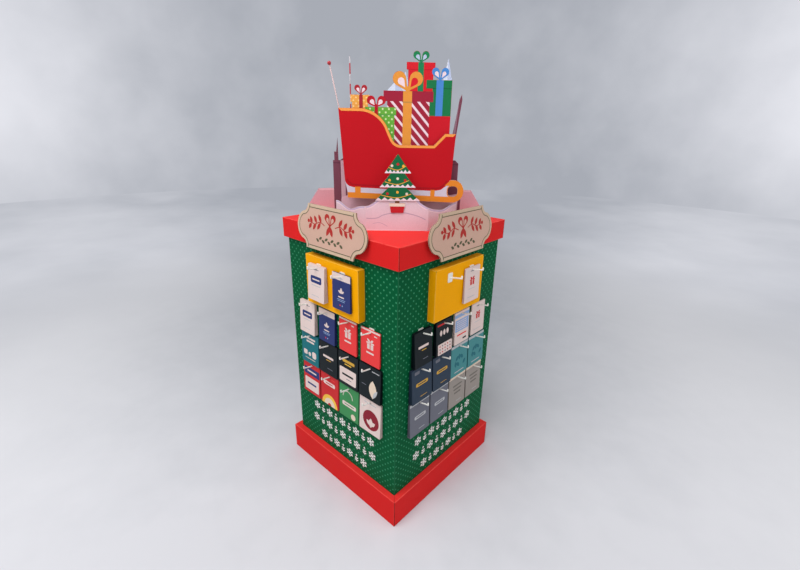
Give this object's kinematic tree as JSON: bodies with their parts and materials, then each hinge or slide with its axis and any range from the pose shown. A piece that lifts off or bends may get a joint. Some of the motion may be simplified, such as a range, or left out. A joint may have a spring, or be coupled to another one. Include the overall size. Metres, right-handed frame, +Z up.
{
  "type": "cardboard display stand",
  "caption": "Square cardboard floor display with a red tray and cap, dotted green body, hooks with hanging card stacks on two faces and a die-cut winter scene on top.",
  "frame": {"origin": "on the floor under the middle of the base tray", "axes": "+Z up; the two dressed faces look along -Y and +X, and the scene on the cap faces the corner between them"},
  "size_m": [0.6608, 0.6608, 1.5646],
  "materials": {
    "red_board": "matt print on corrugated board",
    "green_board": "matt dotted print on corrugated board",
    "plain_board": "unprinted kraft",
    "yellow_board": "matt print on folded board",
    "plaque_board": "matt print on board",
    "snow_board": "matt print on board",
    "mauve_board": "matt print on board",
    "card_print": "coated carrier cards",
    "hook_plastic": "satin moulded plastic",
    "red_plastic": "satin moulded plastic"
  },
  "bodies": {
    "root": {"ball_pole": "red_plastic", "base_tray": "red_board", "body_sleeve": "green_board", "cap_lid": "red_board", "cards_left_panel_1": "card_print", "cards_left_panel_2": "card_print", "cards_left_row1_1": "card_print", "cards_left_row1_2": "card_print", "cards_left_row1_3": "card_print", "cards_left_row1_4": "card_print", "cards_left_row2_1": "card_print", "cards_left_row2_2": "card_print", "cards_left_row2_3": "card_print", "cards_left_row2_4": "card_print", "cards_left_row3_1": "card_print", "cards_left_row3_2": "card_print", "cards_left_row3_3": "card_print", "cards_left_row3_4": "card_print", "cards_right_panel_2": "card_print", "cards_right_row1_1": "card_print", "cards_right_row1_2": "card_print", "cards_right_row1_3": "card_print", "cards_right_row1_4": "card_print", "cards_right_row2_1": "card_print", "cards_right_row2_2": "card_print", "cards_right_row2_3": "card_print", "cards_right_row2_4": "card_print", "cards_right_row3_1": "card_print", "cards_right_row3_2": "card_print", "cards_right_row3_3": "card_print", "cards_right_row3_4": "card_print", "divider_slot_down": "plain_board", "divider_slot_up": "plain_board", "fir_cutout": "green_board", "gift_panel": "red_board", "gift_spacer": "plain_board", "hooks_left_face": "hook_plastic", "hooks_left_panel": "hook_plastic", "hooks_right_face": "hook_plastic", "hooks_right_panel": "hook_plastic", "plaque_left": "plaque_board", "plaque_right": "plaque_board", "plaque_wedge_left": "plain_board", "plaque_wedge_right": "plain_board", "sleigh_panel": "red_board", "sleigh_spacer_left": "plain_board", "sleigh_spacer_right": "plain_board", "snow_bank": "snow_board", "snow_drift": "snow_board", "striped_pole": "hook_plastic", "village_panel": "mauve_board", "yellow_panel_left": "yellow_board", "yellow_panel_right": "yellow_board"}
  },
  "joints": []
}
